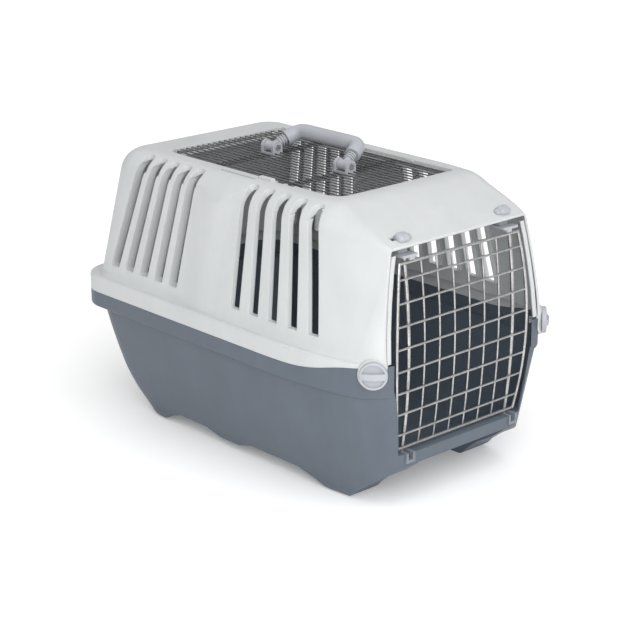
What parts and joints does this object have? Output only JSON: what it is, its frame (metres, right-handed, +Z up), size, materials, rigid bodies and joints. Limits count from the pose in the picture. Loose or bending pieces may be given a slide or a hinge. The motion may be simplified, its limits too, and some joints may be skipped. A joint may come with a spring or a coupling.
{
  "type": "pet carrier",
  "caption": "Hard-sided pet carrier: plastic tub and slotted top shell joined by quarter-turn knobs, swinging wire door with sliding latches, wire roof grate with folding handle.",
  "frame": {"origin": "centre of the footprint, on the surface that the feet stand on", "axes": "+Z up, -Y out through the door, X across the width with the door hinge on +X"},
  "size_m": [0.3516, 0.5619, 0.3991],
  "materials": {
    "shell_plastic": "satin",
    "tub_plastic": "satin",
    "fitting_plastic": "satin",
    "zinc_wire": "bright zinc"
  },
  "bodies": {
    "carrier": {"base_tub": "tub_plastic", "top_shell": "shell_plastic", "door_bush_left": "fitting_plastic", "door_bush_right": "fitting_plastic"},
    "door": {"door_frame": "zinc_wire", "door_cross_wires": "zinc_wire", "door_uprights": "zinc_wire", "door_rod_left": "zinc_wire", "door_rod_right": "zinc_wire"},
    "grate": {"grate_frame": "zinc_wire", "grate_long_wires": "zinc_wire", "grate_cross_wires_front": "zinc_wire", "grate_cross_wires_rear": "zinc_wire", "handle_clip_front": "fitting_plastic", "handle_clip_rear": "fitting_plastic", "handle_pin_front": "zinc_wire", "handle_pin_rear": "zinc_wire"},
    "handle": {"handle_grip": "fitting_plastic"},
    "knob_left": {"knob_left": "fitting_plastic"},
    "knob_right": {"knob_right": "fitting_plastic"},
    "latch_left": {"door_latch_left": "fitting_plastic"},
    "latch_right": {"door_latch_right": "fitting_plastic"}
  },
  "joints": [
    {"name": "door_hinge", "type": "hinge", "parent": "carrier", "child": "door", "pos_m": [0.091, -0.259, 0.19], "axis": [0, 0, 1], "range_deg": [0, 110]},
    {"name": "grate_hinge", "type": "hinge", "parent": "carrier", "child": "grate", "pos_m": [0.097, 0.008, 0.3614], "axis": [0, 1, 0], "range_deg": [0, 95]},
    {"name": "handle_fold", "type": "hinge", "parent": "grate", "child": "handle", "pos_m": [0, 0.008, 0.372], "axis": [0, 1, 0], "range_deg": [-132, 0]},
    {"name": "knob_left_turn", "type": "hinge", "parent": "carrier", "child": "knob_left", "pos_m": [-0.14533, -0.26489, 0.184], "axis": [-0.7071, -0.7071, 0], "range_deg": [0, 90]},
    {"name": "knob_right_turn", "type": "hinge", "parent": "carrier", "child": "knob_right", "pos_m": [0.14533, -0.26489, 0.184], "axis": [0.7071, -0.7071, 0], "range_deg": [0, 90]},
    {"name": "latch_left_slide", "type": "slide", "parent": "carrier", "child": "latch_left", "axis": [-1, 0, 0], "range_m": [0, 0.008]},
    {"name": "latch_right_slide", "type": "slide", "parent": "carrier", "child": "latch_right", "axis": [1, 0, 0], "range_m": [0, 0.008]}
  ]
}
